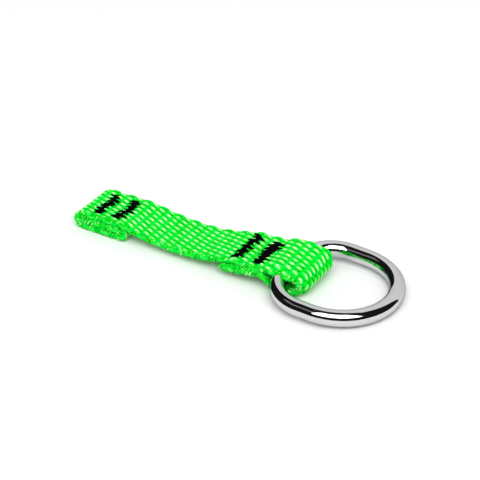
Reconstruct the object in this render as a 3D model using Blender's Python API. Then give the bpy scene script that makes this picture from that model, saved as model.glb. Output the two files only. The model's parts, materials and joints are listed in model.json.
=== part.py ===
"""Sewn webbing tail with a D-ring: the tether point that is fixed to a hand tool.

One length of half-inch webbing. At one end it is rolled into a three-layer hem, the stopper,
and at the other it is doubled into a loop round the straight bar of a welded wire D-ring.
Four bar tacks hold it, each made of a needle thread on top and a bobbin thread underneath.

Frame: metres, +Z up. The origin is the centre of the stopper's underside, +X runs along the
strap to the ring, and Y is across the strap. The tail lies on the plane Z = 0.
"""
import math

import bmesh
import bpy
from mathutils import Matrix, Vector

MM = 0.001

# ---- driving dimensions, in millimetres ----------------------------------------------
WEB_WIDTH = 12.7            # half-inch webbing
WEB_THICKNESS = 1.15        # one layer, without the crowns of its weave
GAP = 0.3                   # clearance kept between faces that touch on the real object
WIRE_DIAMETER = 3.9
RING_ARC_RADIUS = 13.05     # wire centre line of the round end
RING_CORNER_RADIUS = 8.5    # wire centre line where the bar turns into the arms
RING_ARM = 4.1              # straight part of each arm
STOPPER_LENGTH = 16.1
BAR_X = 54.25               # ring bar, from the stopper's free end
LOOP_END_X = 62.35          # far end of the loop round the bar
CUT_END_X = 40.6            # heat-cut end of the layer that comes back under the strap
FLEX_X = 21.0               # where the single layer bends most easily, beside the hem

# ---- bar tacks: distance from the free end, length across the strap -------------------
TACKS = (
    ("stopper_outer", 4.9, 8.2),
    ("stopper_inner", 10.0, 8.0),
    ("ring_inner", 43.0, 10.6),
    ("ring_outer", 48.5, 9.4),
)
TACK_WIDTH = 1.7
TACK_THICKNESS = 0.45
TACK_PROUD_ABOVE = 0.25     # the needle thread stands a little above the webbing
TACK_PROUD_BELOW = -0.05    # the bobbin thread is pulled in, so the strap still lies flat

# ---- sizes that follow -----------------------------------------------------------------
ORIGIN_X = STOPPER_LENGTH / 2
HALF_WIDTH = WEB_WIDTH / 2
HALF_LAYER = WEB_THICKNESS / 2
PITCH = WEB_THICKNESS + GAP             # from one layer's middle to the next
WIRE_RADIUS = WIRE_DIAMETER / 2
BAR_Z = WEB_THICKNESS + GAP + WIRE_RADIUS
LOOP_RADIUS = WIRE_RADIUS + GAP + HALF_LAYER    # middle of the layer that wraps the bar
BOTTOM_Z = HALF_LAYER                   # middles of the stopper's three layers
MIDDLE_Z = BOTTOM_Z + PITCH
TOP_Z = MIDDLE_Z + PITCH
SEAM_Z = 3.8                            # between the two layers at the ring's tacks
SAG_BEFORE_FLEX = ((14.0, TOP_Z), (17.5, 2.95))     # the single layer's middle, as it sags
FLEX_POINT = (FLEX_X, 2.5)
SAG_AFTER_FLEX = ((25.5, 2.2), (30.0, 2.25), (34.0, 2.55), (39.0, 3.6))
RING_REACH = RING_CORNER_RADIUS + RING_ARM + RING_ARC_RADIUS
RING_TILT = math.asin((BAR_Z - WIRE_RADIUS) / RING_REACH)   # its round end rests on Z = 0

# ---- fineness --------------------------------------------------------------------------
FOLD_STEPS = 12
NOSE_STEPS = 20
SPAN_STEPS = 6
CORNER_STEPS = 10
ROUND_END_STEPS = 36
WIRE_SECTION_STEPS = 9

COLOURS = {
    "webbing": ((0.01, 0.84, 0.03, 1.0), 0.75, 0.0),
    "thread": ((0.004, 0.003, 0.006, 1.0), 0.6, 0.0),
    "steel": ((0.62, 0.62, 0.63, 1.0), 0.08, 1.0),
}


def arc(centre_x, centre_z, radius_x, radius_z, start, end, steps):
    """Points on an ellipse in the XZ plane, from one angle to another, in degrees."""
    points = []
    for step in range(steps + 1):
        angle = math.radians(start + (end - start) * step / steps)
        points.append((centre_x + radius_x * math.cos(angle), centre_z + radius_z * math.sin(angle)))
    return points


def smooth(stations, steps):
    """A Catmull-Rom curve through the stations, which it starts and ends on."""
    ends = [stations[0]] + list(stations) + [stations[-1]]
    points = [stations[0]]
    for a, b, c, d in zip(ends, ends[1:], ends[2:], ends[3:]):
        for step in range(1, steps + 1):
            t = step / steps
            points.append(tuple(
                0.5 * (2 * q + (r - p) * t + (2 * p - 5 * q + 4 * r - s) * t * t
                       + (3 * q - p - 3 * r + s) * t ** 3)
                for p, q, r, s in zip(a, b, c, d)))
    return points


def stopper_line():
    """Middle of the webbing from its hidden cut end, through the hem, to the flex point."""
    fold_x = STOPPER_LENGTH - (PITCH / 2 + HALF_LAYER)
    lower_fold = arc(fold_x, BOTTOM_Z + PITCH / 2, PITCH / 2, PITCH / 2, 90, -90, FOLD_STEPS)
    end_radius = PITCH
    end_x = end_radius + HALF_LAYER
    end_fold = arc(end_x, MIDDLE_Z, end_radius, end_radius, 270, 90, FOLD_STEPS)
    span = smooth([*SAG_BEFORE_FLEX, FLEX_POINT], SPAN_STEPS)
    return [(end_x + GAP, MIDDLE_Z)] + lower_fold + end_fold + span


def ring_line():
    """Middle of the webbing from the flex point, round the ring's bar, to its outer cut end."""
    over_z = SEAM_Z + PITCH / 2
    under_z = SEAM_Z - PITCH / 2
    span = smooth([FLEX_POINT, *SAG_AFTER_FLEX, (43.5, over_z), (47.0, over_z)], SPAN_STEPS)
    over_bar = arc(BAR_X, BAR_Z, LOOP_RADIUS, LOOP_RADIUS, 120, 85, FOLD_STEPS // 2)
    nose_x = BAR_X + 4.2
    nose_reach = LOOP_END_X - HALF_LAYER - nose_x
    nose_z = BOTTOM_Z + 2.55
    nose = arc(nose_x, nose_z, nose_reach, 2.55, 80, -90, NOSE_STEPS)
    under_bar = arc(BAR_X, BAR_Z, LOOP_RADIUS, LOOP_RADIUS, 270, 240, FOLD_STEPS // 2)
    tail = smooth([(50.0, under_z - 0.15), (47.0, under_z), (43.5, under_z - 0.1),
                   (CUT_END_X, under_z - 0.7)], SPAN_STEPS)
    return span + [(50.0, over_z + 0.15)] + over_bar + nose + under_bar + tail


def strip_outline(line, wedge_start=False, wedge_end=False):
    """The closed outline of a strip one layer thick along a line. A wedge lets it fold."""
    left, right = [], []
    for index, (x, z) in enumerate(line):
        before = Vector(line[max(index - 1, 0)])
        after = Vector(line[min(index + 1, len(line) - 1)])
        along = (after - before).normalized()
        side = Vector((-along.y, along.x)) * HALF_LAYER
        point = Vector((x, z))
        left.append(point + side)
        right.append(point - side)
    if wedge_start:
        left[0], right[0] = (edge + Vector((HALF_LAYER + GAP, 0.0)) for edge in (left[0], right[0]))
        left.insert(0, Vector(line[0]) + Vector((GAP / 2, 0.0)))
    if wedge_end:
        left[-1], right[-1] = (edge - Vector((HALF_LAYER + GAP, 0.0)) for edge in (left[-1], right[-1]))
        left.append(Vector(line[-1]) - Vector((GAP / 2, 0.0)))
    return left + right[::-1]


def add_material(obj, name):
    colour, roughness, metallic = COLOURS[name]
    material = bpy.data.materials.get(name) or bpy.data.materials.new(name)
    material.use_nodes = True
    shader = material.node_tree.nodes["Principled BSDF"]
    shader.inputs["Base Color"].default_value = colour
    shader.inputs["Roughness"].default_value = roughness
    shader.inputs["Metallic"].default_value = metallic
    obj.data.materials.append(material)


def add_object(name, bm, material, location=(0.0, 0.0, 0.0)):
    """Turns a bmesh in millimetres into an object, with its origin at a point in millimetres."""
    origin = Vector(location)
    bmesh.ops.translate(bm, verts=bm.verts, vec=-origin)
    bmesh.ops.scale(bm, verts=bm.verts, vec=(MM, MM, MM))
    bmesh.ops.recalc_face_normals(bm, faces=bm.faces)
    mesh = bpy.data.meshes.new(name)
    bm.to_mesh(mesh)
    bm.free()
    mesh.shade_smooth()
    mesh.set_sharp_from_angle(angle=math.radians(35))
    obj = bpy.data.objects.new(name, mesh)
    obj.location = origin * MM
    bpy.context.scene.collection.objects.link(obj)
    if material:
        add_material(obj, material)
    return obj


def extrude_outline(outline, half_width):
    """A prism across the strap from an outline of X and Z."""
    bm = bmesh.new()
    loop = [bm.verts.new((x - ORIGIN_X, -half_width, z)) for x, z in outline]
    face = bm.faces.new(loop)
    result = bmesh.ops.extrude_face_region(bm, geom=[face])
    moved = [item for item in result["geom"] if isinstance(item, bmesh.types.BMVert)]
    bmesh.ops.translate(bm, verts=moved, vec=(0.0, 2 * half_width, 0.0))
    return bm


def bar_bmesh(place, length, width, thickness):
    """A bar across the strap with rounded long edges. Its place is X, Z and the strap's slope."""
    x, z, slope = place
    bm = bmesh.new()
    bmesh.ops.create_cube(bm, size=1.0)
    bmesh.ops.scale(bm, verts=bm.verts, vec=(width, length, thickness))
    long_edges = [e for e in bm.edges if abs(e.verts[0].co.y - e.verts[1].co.y) > length / 2]
    bmesh.ops.bevel(bm, geom=long_edges, offset=thickness * 0.4, segments=3, profile=0.5,
                    affect="EDGES")
    turn = Matrix.Rotation(-math.atan(slope), 4, "Y")
    bm.transform(Matrix.Translation((x - ORIGIN_X, 0.0, z)) @ turn)
    return bm


def height_and_slope(line, x, topmost):
    """Where the webbing's outermost layer passes a point along the strap, and how steeply."""
    found = []
    for (x0, z0), (x1, z1) in zip(line, line[1:]):
        if x1 != x0 and min(x0, x1) <= x <= max(x0, x1):
            slope = (z1 - z0) / (x1 - x0)
            found.append((z0 + slope * (x - x0), slope))
    return max(found) if topmost else min(found)


def cut_groove(strap, name, bm):
    """Cuts the groove that a tack's thread pulls into the webbing."""
    cutter = add_object("groove_" + name, bm, None)
    cutter.hide_render = True
    cutter.display_type = "WIRE"
    boolean = strap.modifiers.new("groove_" + name, "BOOLEAN")
    boolean.operation = "DIFFERENCE"
    boolean.solver = "EXACT"
    boolean.object = cutter


def add_tack(strap, line, name, x, length):
    """A bar tack: its needle thread above the strap and its bobbin thread below."""
    sides = (
        ("needle_thread_", True, 1, TACK_PROUD_ABOVE),
        ("bobbin_thread_", False, -1, TACK_PROUD_BELOW),
    )
    for prefix, topmost, outward, proud in sides:
        middle, slope = height_and_slope(line, x, topmost)
        place = (x, middle + outward * (HALF_LAYER + proud - TACK_THICKNESS / 2), slope)
        bar = bar_bmesh(place, length, TACK_WIDTH, TACK_THICKNESS)
        thread = add_object(prefix + name, bar, "thread", strap.location / MM)
        thread.parent = strap
        thread.location = (0.0, 0.0, 0.0)
        room = 2 * GAP
        groove = bar_bmesh(place, length + room, TACK_WIDTH + room, TACK_THICKNESS + room)
        cut_groove(strap, prefix + name, groove)


def ring_points():
    """The wire's centre line, in the ring's own plane, from the middle of its bar."""
    side = RING_ARC_RADIUS - RING_CORNER_RADIUS
    round_end_x = RING_CORNER_RADIUS + RING_ARM
    corner = arc(RING_CORNER_RADIUS, side, RING_CORNER_RADIUS, RING_CORNER_RADIUS, 180, 90, CORNER_STEPS)
    round_end = arc(round_end_x, 0.0, RING_ARC_RADIUS, RING_ARC_RADIUS, 90, -90, ROUND_END_STEPS)
    other_corner = [(x, -y) for x, y in reversed(corner)]
    return corner + round_end + other_corner


def add_ring():
    """The D-ring: round wire swept round its outline, hinged on its straight bar."""
    curve = bpy.data.curves.new("d_ring", "CURVE")
    curve.dimensions = "3D"
    curve.bevel_depth = WIRE_RADIUS * MM
    curve.bevel_resolution = WIRE_SECTION_STEPS
    points = ring_points()
    spline = curve.splines.new("POLY")
    spline.points.add(len(points) - 1)
    for point, (x, y) in zip(spline.points, points):
        point.co = (x * MM, y * MM, 0.0, 1.0)
    spline.use_cyclic_u = True
    spline.use_smooth = True
    ring = bpy.data.objects.new("d_ring", curve)
    ring.location = Vector((BAR_X - ORIGIN_X, 0.0, BAR_Z)) * MM
    ring.rotation_euler = (0.0, RING_TILT, 0.0)
    bpy.context.scene.collection.objects.link(ring)
    add_material(ring, "steel")


def add_strap(name, line, origin, **wedge):
    """One end of the strap, as a solid whose origin is its body's joint."""
    outline = strip_outline(line, **wedge)
    return add_object(name, extrude_outline(outline, HALF_WIDTH), "webbing", origin)


def build():
    for obj in list(bpy.data.objects):
        bpy.data.objects.remove(obj, do_unlink=True)
    flex_point = (FLEX_X - ORIGIN_X, 0.0, FLEX_POINT[1])
    halves = {
        "stopper": (stopper_line(), (0.0, 0.0, 0.0), {"wedge_end": True}),
        "ring": (ring_line(), flex_point, {"wedge_start": True}),
    }
    for end, (line, origin, wedge) in halves.items():
        strap = add_strap("webbing_" + end + "_end", line, origin, **wedge)
        for name, x, length in TACKS:
            if name.startswith(end):
                add_tack(strap, line, name, x, length)
    add_ring()


build()
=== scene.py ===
"""Looks of the sewn webbing tail: woven yarns, stitched bar tacks and a polished D-ring."""
import json
import math

import bpy
import numpy as np
from mathutils import Matrix, Vector


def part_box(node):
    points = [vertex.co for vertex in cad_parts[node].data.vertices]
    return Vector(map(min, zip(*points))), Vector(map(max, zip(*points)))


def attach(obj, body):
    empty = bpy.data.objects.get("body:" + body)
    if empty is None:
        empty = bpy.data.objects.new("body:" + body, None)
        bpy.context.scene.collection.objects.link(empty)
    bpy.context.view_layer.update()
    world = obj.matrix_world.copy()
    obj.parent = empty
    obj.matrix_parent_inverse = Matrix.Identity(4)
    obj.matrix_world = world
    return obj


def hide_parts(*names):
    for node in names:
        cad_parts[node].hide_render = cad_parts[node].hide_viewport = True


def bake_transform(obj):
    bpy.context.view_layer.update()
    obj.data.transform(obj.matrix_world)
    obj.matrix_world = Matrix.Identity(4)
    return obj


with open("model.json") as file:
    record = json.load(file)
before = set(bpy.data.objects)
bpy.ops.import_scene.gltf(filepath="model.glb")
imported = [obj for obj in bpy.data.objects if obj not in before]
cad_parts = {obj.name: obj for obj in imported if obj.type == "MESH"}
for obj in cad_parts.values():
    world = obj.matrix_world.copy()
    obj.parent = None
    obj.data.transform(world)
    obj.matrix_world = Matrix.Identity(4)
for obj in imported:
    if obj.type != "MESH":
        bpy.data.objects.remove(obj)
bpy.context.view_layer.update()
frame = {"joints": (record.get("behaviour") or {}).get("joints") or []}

MM = 0.001
RANDOM = np.random.default_rng(7)
JOINTS = {joint["name"]: joint for joint in frame["joints"]}

# ---- places read from the frame, in millimetres ---------------------------------------------
FREE_END_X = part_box("webbing_stopper_end")[0].x / MM
LOOP_END_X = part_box("webbing_ring_end")[1].x / MM
FLEX_X, _, FLEX_Z = (value / MM for value in JOINTS["strap_flex"]["pos_m"])
BAR_X, _, BAR_Z = (value / MM for value in JOINTS["ring_swing"]["pos_m"])
RING_HALF_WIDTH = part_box("d_ring")[1].y / MM

# ---- the webbing, in millimetres ------------------------------------------------------------
WEB_WIDTH = 12.7
YARNS = 16                  # full warp yarns side by side; a slim one finishes the far edge
YARN_PITCH = 0.765
WEAVE_PERIOD = 4.45         # from one float of a yarn to its next
YARN_SWING = 0.36           # how far a yarn goes above and below the middle
WAVE_SQUARENESS = 1.5       # of its path: the more, the longer its floats lie flat
FLOAT_HALF_WIDTH = 0.66
FLOAT_HALF_THICKNESS = 0.37
DIVE_HALF_WIDTH = 0.48
DIVE_HALF_THICKNESS = 0.44
EDGE_Y = 6.05               # from the middle to the edge threads
HALF_LAYER = YARN_SWING + FLOAT_HALF_THICKNESS
YARN_SIDES = 14
STEPS_PER_PERIOD = 22
PAINTED_HIGHLIGHT_LENGTH = 0.95        # of the painted highlight, a pale streak on each float, in radians of the weave
PAINTED_HIGHLIGHT_WIDTH = 0.48         # in half widths of the float
PAINTED_HIGHLIGHT_STRENGTH = (0.72, 1.12)    # of the faintest and the brightest painted highlights
PAINTED_HIGHLIGHT_SLANT = -0.55        # sideways, in half widths over a radian of the weave
SIDE_SHADE = 0.55           # how much darker a yarn is at its sides
DIVE_SHADE = 0.25           # how much darker it is where it goes under
PHASE_JITTER = 0.06         # of a yarn's floats, in radians of the weave
YARN_WANDER = 0.025         # of a yarn to the sides
WANDER_STATIONS = 40
SLIM_YARN_SCALE = 0.6
SLIM_YARN_SHIFT = 0.3       # towards the others, in yarn pitches
WEFT_RADIUS = 0.30
WEFT_OVERHANG = 0.42        # of its turns past the edge threads' middle
WEFT_PALENESS = 0.15
EDGE_THREAD_RADIUS = 0.19
EDGE_THREAD_STEPS = 10      # in each turn
EDGE_THREAD_LEAN = 0.7      # of its turns along the edge, in pitches
EDGE_THREAD_PLAY = (0.14, 0.25, 0.06)    # along in millimetres; across and up as shares
EDGE_FLECKS = (-0.02, 0.38)              # mean and spread of its pale and dark flecks
EDGE_DARKEST = -0.4
HEM_LENGTH = 14.5
CUT_END_X = 31.7            # outer cut end of the layer under the strap
HEM_LAYERS_Z = (0.76, 2.15, 3.54)
SEAM_Z = 3.68               # between the two layers behind the ring
SEAM_PITCH = 1.46
SEAL_DEPTH = 0.30           # of the melted bead at a cut end
SEAL_HALF_HEIGHT = 0.58

# ---- the ring, in millimetres ---------------------------------------------------------------
WIRE_RADIUS = 1.95
NEAR_CORNER_RADIUS = 9.3
FAR_CORNER_RADIUS = 8.5
RING_PLAY = (0.35, 0.3, -0.35)    # how far the bar lies from the middle of its loop
ROUND_END_X = 12.25         # from the bar to the middle of the round end
RING_STEPS = 480
WIRE_SIDES = 64

# ---- colours --------------------------------------------------------------------------------
NYLON_BODY = ((0.0, 0.70, 0.0, 1), (0.0, 0.84, 0.07, 1))
# painted shade on the yarns' sides and dives, and the dark flecks of the edge threads
NYLON_DARK_TONE_AND_SHADE = (0.0, 0.50, 0.002, 1)
# painted highlights on the floats, and the pale flecks of the edge threads and the weft's paler
# tone
NYLON_PALE_TONE_AND_HIGHLIGHT = (0.58, 1.0, 0.46, 1)
MELTED_NYLON = ((0.0, 0.42, 0.01, 1), (0.08, 0.9, 0.06, 1))
BLACK_THREAD = ((0.0008, 0.0006, 0.001, 1), (0.004, 0.003, 0.005, 1))
STEEL = ((0.64, 0.64, 0.645, 1), (0.69, 0.69, 0.695, 1))
STEEL_EDGE_TINT = (0.45, 0.45, 0.46, 1)

# ---- the surroundings, in millimetres -------------------------------------------------------
OBJECT_MIDDLE = (28.0, 0.0, 2.0)
FLOOR_REACH = 6000
FLOOR_GAP = 0.02            # below the lowest threads
CARD_DISTANCE = 1200
FLAG_DISTANCE = 1250
BACKDROP_DISTANCE = 5000
SOFTBOX_GLOW = 4.1
ROOM_GLOW = 0.71

# ---- the camera -----------------------------------------------------------------------------
CAMERA_TARGET = Vector((28.25, 8.29, 0.0)) * MM
CAMERA_AZIMUTH = math.radians(31.25)
CAMERA_ELEVATION = math.radians(32.2)
CAMERA_DISTANCE = 0.558
CAMERA_LENS = 180.8


# ---- curves and sweeps ----------------------------------------------------------------------
def arc(centre_x, centre_z, radius_x, radius_z, start, end, steps=24):
    """Points on an ellipse in the XZ plane, from one angle to another, in degrees."""
    angles = np.radians(np.linspace(start, end, steps + 1))
    return [(centre_x + radius_x * math.cos(a), centre_z + radius_z * math.sin(a)) for a in angles]


def smooth(stations, steps=12):
    """A Catmull-Rom curve through the stations."""
    ends = np.array([stations[0], *stations, stations[-1]], float)
    t = (np.arange(steps) / steps)[:, None]
    points = []
    for a, b, c, d in zip(ends, ends[1:], ends[2:], ends[3:]):
        points.extend(0.5 * (2 * b + (c - a) * t + (2 * a - 5 * b + 4 * c - d) * t ** 2
                             + (3 * b - a - 3 * c + d) * t ** 3))
    return [tuple(p) for p in points] + [tuple(ends[-1])]


def smoothstep(low, high, value):
    t = np.clip((np.asarray(value, float) - low) / (high - low), 0.0, 1.0)
    return t * t * (3 - 2 * t)


def add_mesh(name, points, faces, material, uv=None, tone_and_painted_light=None):
    """A smooth-shaded mesh from points in millimetres."""
    mesh = bpy.data.meshes.new(name)
    mesh.from_pydata((np.asarray(points) * MM).tolist(), [], faces)
    if uv is not None:
        layer = mesh.uv_layers.new(name="yarn")
        corners = np.zeros(len(mesh.loops), np.int32)
        mesh.loops.foreach_get("vertex_index", corners)
        layer.data.foreach_set("uv", np.asarray(uv, np.float32)[corners].ravel())
    # a value at each point for painted highlights and painted shade, and for random pale and dark
    # flecks
    if tone_and_painted_light is not None:
        attribute = mesh.attributes.new("tone_and_painted_light", "FLOAT", "POINT")
        attribute.data.foreach_set("value", np.asarray(tone_and_painted_light, np.float32))
    mesh.shade_smooth()
    mesh.materials.append(material)
    obj = bpy.data.objects.new(name, mesh)
    bpy.context.scene.collection.objects.link(obj)
    return obj


def tube_faces(rings, sides, first=0, closed=False):
    """The faces of a tube whose points are stored ring by ring, with its ends capped."""
    faces = []
    for ring in range(rings if closed else rings - 1):
        here = first + ring * sides
        there = first + (ring + 1) % rings * sides
        for side in range(sides):
            after = (side + 1) % sides
            faces.append((here + side, here + after, there + after, there + side))
    if not closed:
        faces.append(tuple(first + side for side in reversed(range(sides))))
        faces.append(tuple(first + (rings - 1) * sides + side for side in range(sides)))
    return faces


def tube_points(line, radius, sides):
    """Rings of points round a line in space, without twist."""
    line = np.asarray(line, float)
    along = np.gradient(line, axis=0)
    along /= np.linalg.norm(along, axis=1)[:, None]
    across = np.cross(along[0], (0.31, 0.17, 0.94))
    rings = []
    for point, direction in zip(line, along):
        across = across - direction * across.dot(direction)
        across /= np.linalg.norm(across)
        up = np.cross(direction, across)
        for side in range(sides):
            angle = 2 * math.pi * side / sides
            rings.append(point + radius * (math.cos(angle) * across + math.sin(angle) * up))
    return np.array(rings)


# ---- the line that the webbing follows ------------------------------------------------------
def webbing_line():
    """Middle of the webbing from its hidden end, through the hem and the loop, to its cut end."""
    bottom, middle, top = HEM_LAYERS_Z
    fold_radius = (middle - bottom) / 2
    fold_x = FREE_END_X + HEM_LENGTH - fold_radius - HALF_LAYER
    end_radius = (top - bottom) / 2
    end_x = FREE_END_X + end_radius + HALF_LAYER
    over = SEAM_Z + SEAM_PITCH / 2
    under = SEAM_Z - SEAM_PITCH / 2
    wrap = WIRE_RADIUS + HALF_LAYER + 0.03
    nose_x = BAR_X + 4.2
    nose_reach = LOOP_END_X - HALF_LAYER - nose_x
    nose_low = HEM_LAYERS_Z[0]
    nose_height = 2.5
    hem = [(end_x - 0.45, middle)]
    hem += arc(fold_x, (bottom + middle) / 2, fold_radius, fold_radius, 90, -90)
    hem += arc(end_x, (bottom + top) / 2, end_radius, end_radius, 270, 90)
    span = smooth([(5.5, top), (9.45, 2.95), (FLEX_X, FLEX_Z), (17.45, 2.2), (21.95, 2.25),
                   (25.95, 2.55), (30.95, 3.6), (35.45, over), (38.95, over), (41.95, over + 0.2)])
    loop = arc(BAR_X, BAR_Z, wrap, wrap, 118, 85)
    loop += arc(nose_x, nose_low + nose_height, nose_reach, nose_height, 80, -90)
    loop += arc(BAR_X, BAR_Z, wrap, wrap, 270, 240)
    tail = smooth([(41.95, under + 0.1), (38.95, under + 0.15), (35.45, under - 0.15),
                   (CUT_END_X, under - 0.85)])
    return np.array(hem + span + loop + tail)


def even_line(points, spacing, softness):
    """The line resampled evenly, with its corners eased over a short distance."""
    def resample(line):
        steps = np.linalg.norm(np.diff(line, axis=0), axis=1)
        keep = np.concatenate([[True], steps > 1e-6])
        line = line[keep]
        length = np.concatenate([[0.0], np.cumsum(np.linalg.norm(np.diff(line, axis=0), axis=1))])
        places = np.arange(0.0, length[-1], spacing)
        return np.stack([np.interp(places, length, line[:, k]) for k in (0, 1)], axis=1)

    line = resample(points)
    reach = int(3 * softness / spacing)
    kernel = np.exp(-0.5 * (np.arange(-reach, reach + 1) * spacing / softness) ** 2)
    kernel /= kernel.sum()
    padded = np.pad(line, ((reach, reach), (0, 0)), mode="edge")
    eased = np.stack([np.convolve(padded[:, k], kernel, mode="valid") for k in (0, 1)], axis=1)
    return resample(eased)


LINE_SPACING = 0.05
CORNER_SOFTNESS = 0.3
LINE = even_line(webbing_line(), LINE_SPACING, CORNER_SOFTNESS)
LINE_LENGTH = (len(LINE) - 1) * LINE_SPACING
ALONG = np.gradient(LINE, axis=0)
ALONG /= np.linalg.norm(ALONG, axis=1)[:, None]
PLACES = np.arange(len(LINE)) * LINE_SPACING


def place_of(x, outermost):
    """How far along the webbing its "top" or its "bottom" layer passes a given X."""
    crossings = np.where(np.diff(np.sign(LINE[:, 0] - x)) != 0)[0]
    heights = LINE[crossings, 1]
    chosen = heights.argmax() if outermost == "top" else heights.argmin()
    return crossings[chosen] * LINE_SPACING


TOP_SEAM = place_of(39.0, "top")           # behind the ring, on top
NOSE = place_of(BAR_X, "top") + 9.0        # the foremost part of the loop
UNDER_SEAM = place_of(44.0, "bottom")      # behind the ring, underneath
# how far the webbing drifts sideways, by its place along the line
SIDE_DRIFT = ((0.0, -0.2), (12.0, -0.25), (26.0, -0.2), (40.0, 0.1), (60.0, 0.0), (TOP_SEAM, 0.0),
              (NOSE, -0.1), (NOSE + 6.0, -0.8), (UNDER_SEAM, -0.55), (LINE_LENGTH, -0.6))
# how far the near edge curls inwards, as it isn't held by the ring's straight bar
EDGE_CURL = ((TOP_SEAM, 0.0), (TOP_SEAM + 4.0, 0.4), (NOSE - 10.0, 1.4), (NOSE - 7.5, 1.7),
             (NOSE - 4.5, 1.15), (NOSE, 1.2), (NOSE + 3.0, 0.8), (UNDER_SEAM - 4.0, 0.1),
             (UNDER_SEAM - 1.5, 0.9), (UNDER_SEAM + 1.0, 0.9), (UNDER_SEAM + 4.0, 0.3),
             (UNDER_SEAM + 6.0, 0.0))
CURL_START, CURL_END = 4.0, 6.6    # across the webbing, from its middle
# how many times taller the near edge's thread stands where the cut end has loosened it
EDGE_SWELL = ((UNDER_SEAM + 1.0, 1.0), (UNDER_SEAM + 5.0, 1.3), (LINE_LENGTH - 1.0, 1.4),
              (LINE_LENGTH, 1.1))
# the webbing's thickness as a share of its usual one: less where it is drawn tight round the bar
TIGHTNESS = ((TOP_SEAM + 3.0, 1.0), (NOSE - 11.0, 0.8), (NOSE - 7.0, 0.8), (NOSE - 4.0, 1.0),
             (NOSE + 3.0, 1.0), (NOSE + 6.0, 0.8), (UNDER_SEAM - 2.0, 0.8), (UNDER_SEAM + 2.0, 1.0))
# how much higher the near and the far edge of the upper surface are than its middle, by X
NEAR_RISE = ((-8.0, 0.1), (-5.0, 0.45), (4.0, 0.5), (9.0, 0.15), (13.0, 0.0))
FAR_RISE = ((-8.0, 0.0), (28.0, 0.0), (33.0, 0.15), (37.0, 0.4), (42.0, 0.5), (46.0, 0.35),
            (49.0, 0.5), (52.0, 0.55), (54.0, 0.4))
RISE_HEIGHT = 4.5           # height at which the edges rise by these amounts


def strap_points(place, across, height):
    """Turns places along, across and above the webbing's middle into points in space."""
    x = np.interp(place, PLACES, LINE[:, 0])
    z = np.interp(place, PLACES, LINE[:, 1])
    along_x = np.interp(place, PLACES, ALONG[:, 0])
    along_z = np.interp(place, PLACES, ALONG[:, 1])
    norm = np.hypot(along_x, along_z)
    along_x, along_z = along_x / norm, along_z / norm
    drift = np.interp(place, *zip(*SIDE_DRIFT))
    height = height * np.interp(place, *zip(*TIGHTNESS))
    height = height - np.interp(place, *zip(*EDGE_CURL)) * smoothstep(CURL_START, CURL_END, -across)
    lean = (np.interp(x, *zip(*NEAR_RISE)) * np.maximum(-across, 0)
            + np.interp(x, *zip(*FAR_RISE)) * np.maximum(across, 0)) / (WEB_WIDTH / 2)
    upper = z + along_x * height
    raised = upper + lean * upper / RISE_HEIGHT
    return np.stack([x - along_z * height, across + drift, raised], axis=-1)


# ---- materials ------------------------------------------------------------------------------
class Shader:
    """A material's node tree with short calls for adding and joining nodes."""

    def __init__(self, name):
        self.material = bpy.data.materials.new(name)
        self.material.use_nodes = True
        self.tree = self.material.node_tree
        self.surface = self.tree.nodes["Principled BSDF"]

    def node(self, kind, inputs=(), **settings):
        node = self.tree.nodes.new(kind)
        for key, value in settings.items():
            setattr(node, key, value)
        for key, value in dict(inputs).items():
            if isinstance(value, bpy.types.NodeSocket):
                self.tree.links.new(value, node.inputs[key])
            else:
                node.inputs[key].default_value = value
        return node

    def math(self, operation, a, b=0.0, c=0.0):
        return self.node("ShaderNodeMath", {0: a, 1: b, 2: c}, operation=operation).outputs[0]

    def mix(self, factor, a, b):
        """A colour between two. Sockets 0, 6, 7 and 2 are the mix node's colour ones."""
        return self.node("ShaderNodeMix", {0: factor, 6: a, 7: b}, data_type="RGBA").outputs[2]

    def noise(self, vector, scale, detail):
        inputs = {"Vector": vector, "Scale": scale, "Detail": detail}
        return self.node("ShaderNodeTexNoise", inputs).outputs["Fac"]

    def ramp(self, value, low, high, to_low=0.0, to_high=1.0):
        inputs = {"Value": value, "From Min": low, "From Max": high,
                  "To Min": to_low, "To Max": to_high}
        return self.node("ShaderNodeMapRange", inputs).outputs["Result"]

    def bump(self, height, strength, distance):
        inputs = {"Height": height, "Strength": strength, "Distance": distance}
        return self.node("ShaderNodeBump", inputs).outputs["Normal"]

    def set(self, **inputs):
        """Sets or joins the surface's sockets, by their names in small letters."""
        for key, value in inputs.items():
            socket = self.surface.inputs[key.replace("_", " ").title().replace("Ior", "IOR")]
            if isinstance(value, bpy.types.NodeSocket):
                self.tree.links.new(value, socket)
            else:
                socket.default_value = value


def filaments(shader, around, twist):
    """Fine twisted filaments along a yarn, from its own coordinates: -1 to 1."""
    uv = shader.node("ShaderNodeUVMap", uv_map="yarn").outputs["UV"]
    split = shader.node("ShaderNodeSeparateXYZ", {"Vector": uv})
    turns = shader.math("MULTIPLY", split.outputs["Y"], around)
    lay = shader.math("MULTIPLY_ADD", split.outputs["X"], twist, turns)
    return shader.math("SINE", shader.math("MULTIPLY", lay, 2 * math.pi))


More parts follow.
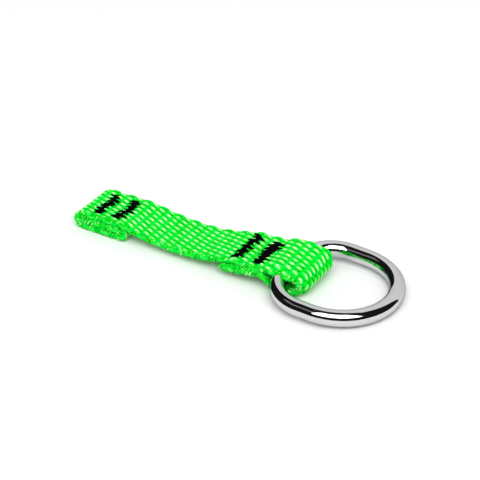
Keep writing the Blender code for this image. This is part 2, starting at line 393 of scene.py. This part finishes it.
def webbing_material():
    shader = Shader("fluorescent_nylon")
    lines = filaments(shader, 9.0, 1.1)
    position = shader.node("ShaderNodeTexCoord").outputs["Object"]
    patches = shader.noise(position, 900.0, 2.0)
    fibres = shader.noise(position, 5200.0, 2.0)
    # this attribute carries painted highlights and painted shade on the warp yarns, and random pale
    # and dark flecks on the edge threads and the weft
    tone_and_painted_light = shader.node("ShaderNodeAttribute", attribute_name="tone_and_painted_light").outputs["Fac"]
    body = shader.mix(shader.ramp(patches, 0.35, 0.65), *NYLON_BODY)
    # painted shade, with the edge threads' dark flecks
    body = shader.mix(shader.ramp(tone_and_painted_light, 0.0, -1.0), body, NYLON_DARK_TONE_AND_SHADE)
    streaked = shader.math("MULTIPLY_ADD", lines, 0.10, tone_and_painted_light)
    speckles = shader.ramp(fibres, 0.3, 0.7, -1.0, 1.0)
    speckled = shader.math("MULTIPLY_ADD", speckles, 0.20, streaked)
    # painted highlights on the floats, with pale flecks and the weft's paler tone
    colour = shader.mix(shader.ramp(speckled, 0.22, 0.85), body, NYLON_PALE_TONE_AND_HIGHLIGHT)
    height = shader.math("MULTIPLY_ADD", lines, 0.5, fibres)
    shader.set(base_color=colour, roughness=0.55, specular_ior_level=0.03,
               normal=shader.bump(height, 0.35, 0.00006))
    return shader.material


def melted_material():
    shader = Shader("melted_nylon")
    position = shader.node("ShaderNodeTexCoord").outputs["Object"]
    lumps = shader.noise(position, 1500.0, 3.0)
    shader.set(base_color=shader.mix(lumps, *MELTED_NYLON),
               roughness=shader.ramp(lumps, 0.3, 0.7, 0.18, 0.4),
               normal=shader.bump(lumps, 0.5, 0.0002))
    return shader.material


def thread_material():
    shader = Shader("black_thread")
    lines = filaments(shader, 3.0, 1.6)
    shader.set(base_color=shader.mix(shader.ramp(lines, -1.0, 1.0), *BLACK_THREAD), roughness=0.55,
               specular_ior_level=0.01, normal=shader.bump(lines, 0.6, 0.00005))
    return shader.material


def steel_material():
    shader = Shader("polished_steel")
    position = shader.node("ShaderNodeTexCoord").outputs["Object"]
    waves = shader.noise(position, 130.0, 1.0)
    polish = shader.noise(position, 2600.0, 3.0)
    shader.set(base_color=shader.mix(waves, *STEEL), metallic=1.0, specular_tint=STEEL_EDGE_TINT,
               roughness=shader.ramp(polish, 0.3, 0.75, 0.035, 0.09),
               normal=shader.bump(waves, 0.4, 0.0003))
    return shader.material


def grey_material(name, grey):
    """A matt grey for the surroundings."""
    shader = Shader(name)
    shader.set(base_color=(grey, grey, grey, 1), roughness=1.0, specular_ior_level=0.0)
    return shader.material


def glowing_material(name, grey, glow):
    """A light grey that gives off its own light."""
    shader = Shader(name)
    shader.set(base_color=(0.0, 0.0, 0.0, 1), roughness=1.0, specular_ior_level=0.0,
               emission_color=(grey, grey, grey, 1), emission_strength=glow)
    return shader.material


# ---- the webbing ----------------------------------------------------------------------------
def yarn_rings(index):
    """One warp yarn: its points ring by ring, its own coordinates, and its painted highlights and
    painted shade.
    """
    slim = SLIM_YARN_SCALE if index == YARNS else 1.0
    place = np.arange(0.0, LINE_LENGTH, WEAVE_PERIOD / STEPS_PER_PERIOD)
    phase = math.pi * ((index + 1) % 2) + RANDOM.normal(0, PHASE_JITTER)
    angle = 2 * math.pi * place / WEAVE_PERIOD + phase
    wander = np.interp(place, np.linspace(0, LINE_LENGTH, WANDER_STATIONS),
                       RANDOM.normal(0, YARN_WANDER, WANDER_STATIONS))
    wave = np.tanh(WAVE_SQUARENESS * np.sin(angle)) / math.tanh(WAVE_SQUARENESS)
    slope = YARN_SWING * np.gradient(wave, place)
    steep = np.hypot(1.0, slope)
    on_top = np.abs(wave) ** 1.5
    half_width = DIVE_HALF_WIDTH + (FLOAT_HALF_WIDTH - DIVE_HALF_WIDTH) * on_top
    half_thickness = DIVE_HALF_THICKNESS + (FLOAT_HALF_THICKNESS - DIVE_HALF_THICKNESS) * on_top
    side = np.arange(YARN_SIDES) * 2 * math.pi / YARN_SIDES
    lateral = slim * half_width[:, None] * np.cos(side)
    lift = half_thickness[:, None] * np.sin(side)
    middle = (index - (YARNS - 1) / 2 - SLIM_YARN_SHIFT * (index == YARNS)) * YARN_PITCH + wander
    places = np.clip(place[:, None] - (slope / steep)[:, None] * lift, 0.0, LINE_LENGTH)
    heights = (YARN_SWING * wave)[:, None] + lift / steep[:, None]
    points = strap_points(places, middle[:, None] + lateral, heights).reshape(-1, 3)
    uv = np.stack(np.broadcast_arrays(place[:, None], side / (2 * math.pi)), axis=-1).reshape(-1, 2)
    # painted highlight: a pale streak on each float's crown, slanted across it with the yarn's
    # twist
    along_float = np.arctan2(np.cos(angle), np.abs(np.sin(angle)))[:, None]
    outside = np.sign(np.sin(angle))[:, None]
    sideways = np.cos(side) + PAINTED_HIGHLIGHT_SLANT * outside * along_float
    tone_and_painted_light = np.exp(-(along_float / PAINTED_HIGHLIGHT_LENGTH) ** 4 - (sideways / PAINTED_HIGHLIGHT_WIDTH) ** 2)
    tone_and_painted_light = tone_and_painted_light * smoothstep(0.0, 0.5, outside * np.sin(side)) * (index < YARNS)
    floats = np.floor(angle / math.pi).astype(int)
    floats -= floats[0]
    tone_and_painted_light = tone_and_painted_light * RANDOM.uniform(*PAINTED_HIGHLIGHT_STRENGTH, floats[-1] + 1)[floats][:, None]
    # painted shade: darker at the yarn's sides, between the yarns, and where it dives under the
    # weft
    valley = smoothstep(0.5, 1.0, np.abs(np.cos(side))) * (1 - tone_and_painted_light)
    tone_and_painted_light = tone_and_painted_light - SIDE_SHADE * valley - DIVE_SHADE * (1 - smoothstep(0.0, 0.6, on_top))[:, None]
    return points, uv, tone_and_painted_light.ravel()


def warp_piece(name, indices, material):
    """Some of the warp yarns as one piece, side by side."""
    points, uvs, tones_and_painted_light, faces = [], [], [], []
    for index in indices:
        ring_points, uv, tone_and_painted_light = yarn_rings(index)
        first = sum(len(part) for part in points)
        faces += tube_faces(len(ring_points) // YARN_SIDES, YARN_SIDES, first)
        points.append(ring_points)
        uvs.append(uv)
        tones_and_painted_light.append(tone_and_painted_light)
    return add_mesh(name, np.concatenate(points), faces, material,
                    np.concatenate(uvs), np.concatenate(tones_and_painted_light))


def thread_tube(name, place, across, height, radius, sides, material, tone_and_painted_light=None):
    """A round thread through places along, across and above the webbing."""
    place = np.clip(np.asarray(place, float), 0, LINE_LENGTH)
    line = strap_points(place, np.asarray(across, float), np.asarray(height, float))
    line[:, 2] = np.maximum(line[:, 2], radius + FLOOR_GAP)
    points = tube_points(line, radius, sides)
    length = np.concatenate([[0], np.cumsum(np.linalg.norm(np.diff(line, axis=0), axis=1))])
    uv = np.stack(np.broadcast_arrays(length[:, None], np.arange(sides) / sides), axis=-1)
    uv = uv.reshape(-1, 2)
    if tone_and_painted_light is not None:
        tone_and_painted_light = np.repeat(tone_and_painted_light, sides)
    return add_mesh(name, points, tube_faces(len(line), sides), material, uv, tone_and_painted_light)


def weft_piece(material):
    """The weft: one yarn that crosses at every half period and turns round the edge yarns."""
    half_period = WEAVE_PERIOD / 2
    picks = int((LINE_LENGTH - WEAVE_PERIOD / 4) / half_period)
    place, across = [], []
    for pick in range(picks):
        here = WEAVE_PERIOD / 4 + pick * half_period
        way = 1 if pick % 2 == 0 else -1
        for y in np.linspace(-EDGE_Y, EDGE_Y, 12)[1:-1]:
            place.append(here)
            across.append(way * y)
        for angle in np.radians(np.linspace(-90, 90, 9)):
            place.append(here + half_period / 2 * (1 + math.sin(angle)))
            across.append(way * (EDGE_Y + WEFT_OVERHANG * math.cos(angle)))
    return thread_tube("webbing_weft", place, across, np.zeros(len(place)), WEFT_RADIUS, 10,
                       material, np.full(len(place), WEFT_PALENESS))


def edge_piece(name, way, pitch, depth, tall, material):
    """The thread that locks the weft's turns: it coils round one edge of the webbing."""
    turns = int((LINE_LENGTH - 0.4) / pitch)
    wobble = RANDOM.normal(0, 1, (turns + 1, 3)) * EDGE_THREAD_PLAY
    place, across, height, tone_and_painted_light = [], [], [], []
    for turn in range(turns):
        for step in range(EDGE_THREAD_STEPS):
            t = step / EDGE_THREAD_STEPS
            angle = 2 * math.pi * t
            loose = wobble[turn] * (1 - t) + wobble[turn + 1] * t
            lean = EDGE_THREAD_LEAN * pitch * math.sin(angle)
            place.append(0.2 + (turn + t) * pitch + loose[0] + lean)
            across.append(way * (EDGE_Y + depth * math.cos(angle) * (1 + loose[1])))
            swell = np.interp(place[-1], *zip(*EDGE_SWELL)) if way < 0 else 1.0
            height.append(tall * swell * math.sin(angle) * (1 + loose[2]))
            tone_and_painted_light.append(max(EDGE_DARKEST, RANDOM.normal(*EDGE_FLECKS)))
    return thread_tube(name, place, across, height, EDGE_THREAD_RADIUS, 8, material,
                       np.array(tone_and_painted_light))


def core_piece(material):
    """The thin middle of the webbing, where its yarns cross and close it to light."""
    place = np.arange(0.3, LINE_LENGTH - 0.3, 0.4)
    outline = np.array(((-6.0, -0.25), (0.0, -0.27), (6.0, -0.25), (6.2, 0.0),
                        (6.0, 0.25), (0.0, 0.27), (-6.0, 0.25), (-6.2, 0.0)))
    across, height = (np.broadcast_to(column, (len(place), len(outline))) for column in outline.T)
    points = strap_points(place[:, None], across, height).reshape(-1, 3)
    return add_mesh("webbing_core", points, tube_faces(len(place), len(outline)), material,
                    np.zeros((len(points), 2)), np.zeros(len(points)))


def melted_end(name, place, outward, material):
    """A heat-sealed cut end: a lumpy bead across the webbing."""
    sides = 16
    across = np.linspace(-WEB_WIDTH / 2 - 0.1, WEB_WIDTH / 2 + 0.1, 60)
    rings = []
    for y in across:
        ease = math.sqrt(max(1 - (y / (WEB_WIDTH / 2 + 0.25)) ** 6, 0.05))
        lump = 1 + 0.12 * math.sin(5.1 * y) + RANDOM.normal(0, 0.05)
        for side in range(sides):
            angle = 2 * math.pi * side / sides
            along = outward * (0.05 + SEAL_DEPTH * lump * math.cos(angle))
            lift = SEAL_HALF_HEIGHT * ease * lump * math.sin(angle)
            rings.append((place + along, y, lift))
    places, y, lift = np.array(rings).T
    on_line = np.clip(places, 0, LINE_LENGTH)
    points = strap_points(on_line, y, lift)
    beyond = places - on_line
    end_direction = ALONG[-1] if outward > 0 else ALONG[0]
    points[:, 0] += beyond * end_direction[0]
    points[:, 2] += beyond * end_direction[1]
    return add_mesh(name, points, tube_faces(len(across), sides), material)


def build_webbing():
    nylon = webbing_material()
    melted = melted_material()
    pieces = [
        warp_piece("webbing_warp_even", range(0, YARNS + 1, 2), nylon),
        warp_piece("webbing_warp_odd", range(1, YARNS, 2), nylon),
        weft_piece(nylon),
        edge_piece("webbing_edge_near", -1, pitch=0.55, depth=0.38, tall=0.68, material=nylon),
        edge_piece("webbing_edge_far", 1, pitch=1.11, depth=0.10, tall=0.40, material=nylon),
        core_piece(nylon),
    ]
    for piece in pieces:
        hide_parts("webbing_stopper_end", "webbing_ring_end")
        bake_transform(piece)
    for name, place, outward, body in (
            ("webbing_sealed_end_outer", LINE_LENGTH - 0.1, 1, "ring_end"),
            ("webbing_sealed_end_inner", 0.1, -1, "stopper_end")):
        seal = melted_end(name, place, outward, melted)
        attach(seal, body)


# ---- the bar tacks --------------------------------------------------------------------------
THREAD_RADIUS = 0.13
STITCH_PITCH = 0.19
TOOTH_PITCH = 1.33          # of the tacks' ragged sides
TOOTH_LENGTH = 1.2
TOOTH_SLACK = 0.35          # share of a tooth that lies inside the tack's outline
REACH_JITTER = 0.08         # of each stitch's ends
STITCH_DIP = 0.28           # of a stitch's ends into the webbing
STITCH_UNEVENNESS = 0.04    # of the stitches' height
BOBBIN_SCALE = 0.8          # of the bobbin thread's stitches, which are shorter
# each tack's X, how far its sides are moved out, and their shape: Y and the reach back and on
TACKS = {
    "stopper_outer": (-2.65, 0.1, (
        (4.7, -0.3, 0.5), (4.0, 1.3, 0.2), (3.2, 0.4, 0.3), (2.6, 0.9, 0.9), (1.9, 0.6, 1.6),
        (1.2, 0.5, 0.4), (0.3, 0.6, 1.5), (-0.6, 1.3, 0.7), (-1.5, 0.5, 0.6), (-2.7, 1.1, 0.8),
        (-3.7, 0.3, 1.8), (-4.5, 1.0, 0.4), (-5.1, 0.2, 1.4))),
    "stopper_inner": (2.3, 0.0, (
        (4.6, 0.8, 1.0), (4.0, 1.0, 1.5), (2.9, 0.7, 1.2), (2.3, 0.4, 1.0), (1.6, 0.5, 1.7),
        (0.8, 0.4, 1.0), (-0.2, 0.2, 2.0), (-1.1, 0.7, 0.9), (-2.2, 0.4, 0.9), (-3.2, 0.8, 1.6),
        (-4.2, 1.2, 1.1), (-4.8, 0.9, 0.5))),
    "ring_inner": (35.4, 0.1, (
        (5.5, 1.0, -0.3), (5.0, 1.1, -0.1), (4.0, 0.4, 1.9), (3.2, 0.1, 1.0), (2.2, 1.2, 1.3),
        (1.3, 0.5, 0.6), (0.6, 0.3, 0.2), (-0.2, 1.2, 1.7), (-1.2, 0.3, 0.3), (-2.2, 1.3, 1.5),
        (-3.2, 0.3, 0.2), (-4.1, 0.5, 1.4), (-4.8, 1.2, 0.3), (-5.3, 0.5, 0.1))),
    "ring_outer": (40.8, 0.32, (
        (4.4, 0.1, 1.0), (3.5, 0.7, 2.0), (2.8, 0.9, 1.2), (1.8, 1.3, 2.1), (0.8, 0.9, 1.2),
        (0.0, 1.2, 1.0), (-0.8, 0.8, 0.8), (-1.3, 0.9, 1.6), (-2.2, 0.9, 0.5), (-3.2, 0.6, 1.6),
        (-4.2, 0.9, 0.8), (-4.8, 1.4, 0.4), (-5.2, -0.3, 1.2))),
}


def tooth(y):
    """How much further than the tack's outline a stitch reaches."""
    return TOOTH_LENGTH * (abs(2 * ((y / TOOTH_PITCH) % 1.0) - 1) ** 2 - TOOTH_SLACK)


def tack_thread(name, tack, outermost, body, material):
    """The stitches of one side of a bar tack, as one thread."""
    x, swell, sides = tack
    middle = place_of(x, outermost)
    surface = HALF_LAYER + THREAD_RADIUS * (0.5 if outermost == "top" else -0.3)
    spread = 1.0 if outermost == "top" else BOBBIN_SCALE
    forward = 1 if ALONG[int(middle / LINE_SPACING), 0] > 0 else -1
    stations, back, on = np.array(sides[::-1]).T
    place, across, height = [], [], []
    count = int((stations[-1] - stations[0]) / STITCH_PITCH)
    for stitch in range(count):
        y0 = stations[0] + stitch * STITCH_PITCH
        reach = (-np.interp(y0, stations, back) - swell - tooth(y0)
                 + RANDOM.normal(0, REACH_JITTER),
                 np.interp(y0, stations, on) + swell + tooth(y0 + TOOTH_PITCH / 3)
                 + RANDOM.normal(0, REACH_JITTER))
        ends = reach if stitch % 2 == 0 else reach[::-1]
        for t in np.linspace(0, 1, 11)[:-1]:
            place.append(middle + forward * spread * (ends[0] + (ends[1] - ends[0]) * t))
            across.append(y0 + STITCH_PITCH * t)
            edge = abs(2 * t - 1)
            unevenness = STITCH_UNEVENNESS * math.sin(stitch * 2.3)
            height.append(surface - STITCH_DIP * edge ** 4 + unevenness)
    piece = thread_tube("stitches_" + name, place, across, height, THREAD_RADIUS, 8, material)
    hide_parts(name)
    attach(piece, body)


def build_tacks():
    material = thread_material()
    for place, tack in TACKS.items():
        body = "stopper_end" if place.startswith("stopper") else "ring_end"
        tack_thread("needle_thread_" + place, tack, "top", body, material)
        tack_thread("bobbin_thread_" + place, tack, "bottom", body, material)


# ---- the ring -------------------------------------------------------------------------------
def ring_line():
    """The wire's centre line in the ring's own plane, evenly spaced, starting on its bar."""
    radius = RING_HALF_WIDTH - WIRE_RADIUS
    near, far = NEAR_CORNER_RADIUS, FAR_CORNER_RADIUS
    far_corner = arc(far, radius - far, far, far, 180, 90, 60)
    near_corner = arc(near, near - radius, near, near, 270, 180, 60)
    round_end = arc(ROUND_END_X, 0.0, radius, radius, 90, -90, 160)
    outline = np.array([(0.0, 0.0), *far_corner, *round_end, *near_corner, (0.0, 0.0)])
    length = np.concatenate([[0.0], np.cumsum(np.linalg.norm(np.diff(outline, axis=0), axis=1))])
    places = np.linspace(0.0, length[-1], RING_STEPS + 1)[:-1]
    return np.stack([np.interp(places, length, outline[:, k]) for k in (0, 1)], axis=1)


def build_ring():
    """The wire swept round its line, tilted until its round end rests on the floor."""
    line = ring_line()
    reach = line[:, 0].max()
    middle = np.array((BAR_X, 0.0, BAR_Z)) + RING_PLAY
    tilt = math.asin((middle[2] - WIRE_RADIUS) / reach)
    along = np.roll(line, -1, axis=0) - np.roll(line, 1, axis=0)
    along /= np.linalg.norm(along, axis=1)[:, None]
    outward = np.stack([along[:, 1], -along[:, 0]], axis=1)
    angles = np.arange(WIRE_SIDES) * 2 * math.pi / WIRE_SIDES
    flat = line[:, None] + WIRE_RADIUS * np.cos(angles)[None, :, None] * outward[:, None]
    lift = np.broadcast_to(WIRE_RADIUS * np.sin(angles), flat.shape[:2])
    local = np.concatenate([flat, lift[..., None]], axis=2).reshape(-1, 3)
    turn = np.array(Matrix.Rotation(tilt, 3, "Y"))
    points = local @ turn.T + middle
    faces = tube_faces(len(line), WIRE_SIDES, closed=True)
    ring = add_mesh("ring_wire", points, faces, steel_material())
    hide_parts("d_ring")
    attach(ring, "ring")


# ---- floor, surroundings and camera ---------------------------------------------------------
def from_target(azimuth, elevation, distance):
    """A point seen from the middle of the object. Azimuth 0 is towards -Y, 90 towards +X."""
    a, e = math.radians(azimuth), math.radians(elevation)
    return np.array(OBJECT_MIDDLE) + distance * np.array(
        (math.cos(e) * math.sin(a), -math.cos(e) * math.cos(a), math.sin(e)))


def dome_card(name, azimuths, elevations, distance, material):
    """A curved card on a dome round the object, seen only in reflections and as light."""
    columns, rows = 13, 9
    points = [from_target(a, e, distance)
              for e in np.linspace(*elevations, rows) for a in np.linspace(*azimuths, columns)]
    corners = [row * columns + k for row in range(rows - 1) for k in range(columns - 1)]
    faces = [(k, k + 1, k + columns + 1, k + columns) for k in corners]
    card = add_mesh(name, points, faces, material)
    card.visible_camera = False
    card.visible_shadow = False
    return card


def build_floor():
    corners = [(-FLOOR_REACH, -FLOOR_REACH, 0), (FLOOR_REACH, -FLOOR_REACH, 0),
               (FLOOR_REACH, FLOOR_REACH, 0), (-FLOOR_REACH, FLOOR_REACH, 0)]
    floor = add_mesh("floor", corners, [(0, 1, 2, 3)], grey_material("white_table", 0.86))


def build_lights():
    """A softbox in front, pale cards that only the steel reflects, and a dark room's flags."""
    soft_white = glowing_material("soft_light", 1.0, SOFTBOX_GLOW)
    dome_card("front_softbox", (-15, 78), (35, 76), CARD_DISTANCE, soft_white)
    pale_sweep = glowing_material("pale_sweep", 0.88, 1.0)
    sweep = dome_card("back_sweep", (142, 230), (-2, 68), CARD_DISTANCE, pale_sweep)
    sweep.visible_diffuse = False
    dim_light = glowing_material("dim_light", 0.25, 1.0)
    spill = dome_card("light_spill", (-75, -15), (46, 58), CARD_DISTANCE, dim_light)
    spill.visible_diffuse = False
    black = grey_material("black_flag", 0.012)
    flags = {
        "left": ((-130, -15), (0, 76)),
        "right": ((78, 142), (0, 76)),
        "front": ((-15, 78), (0, 35)),
        "back_top": ((142, 230), (68, 76)),
        "zenith": ((-180, 180), (76, 90)),
    }
    for name, (azimuths, elevations) in flags.items():
        flag = dome_card("flag_" + name, azimuths, elevations, FLAG_DISTANCE, black)
        flag.visible_diffuse = False
        flag.visible_transmission = False


def build_room():
    """A far white backdrop, seen only by a camera that reaches it, and the room's even light."""
    azimuths = range(0, 360, 10)
    columns = len(azimuths)
    points = [from_target(a, e, BACKDROP_DISTANCE) for e in (-8, 88) for a in azimuths]
    faces = [(k, (k + 1) % columns, columns + (k + 1) % columns, columns + k)
             for k in range(columns)]
    backdrop = add_mesh("backdrop", points, faces, glowing_material("white_backdrop", 1.0, 1.0))
    for ray in ("diffuse", "glossy", "transmission", "shadow"):
        setattr(backdrop, "visible_" + ray, False)
    world = bpy.data.worlds.new("pale_room")
    world.use_nodes = True
    background = world.node_tree.nodes["Background"]
    background.inputs["Color"].default_value = (1.0, 1.0, 1.0, 1)
    background.inputs["Strength"].default_value = ROOM_GLOW
    bpy.context.scene.world = world


def build_camera():
    """The camera on its bearing from the target, looking at it."""
    camera_data = bpy.data.cameras.new("camera")
    camera_data.lens = CAMERA_LENS
    camera_data.sensor_width = 36.0
    camera = bpy.data.objects.new("camera", camera_data)
    back = Vector((math.cos(CAMERA_ELEVATION) * math.sin(CAMERA_AZIMUTH),
                   -math.cos(CAMERA_ELEVATION) * math.cos(CAMERA_AZIMUTH),
                   math.sin(CAMERA_ELEVATION)))
    camera.location = CAMERA_TARGET + back * CAMERA_DISTANCE
    camera.rotation_mode = "QUATERNION"
    camera.rotation_quaternion = (-back).to_track_quat("-Z", "Y")
    camera_data.clip_start = 0.01
    camera_data.clip_end = 20.0
    bpy.context.scene.collection.objects.link(camera)
    bpy.context.scene.camera = camera


build_camera()
build_webbing()
build_tacks()
build_ring()
build_floor()
build_lights()
build_room()
bpy.context.scene.view_settings.view_transform = "Standard"
bpy.context.scene.cycles.use_denoising = True
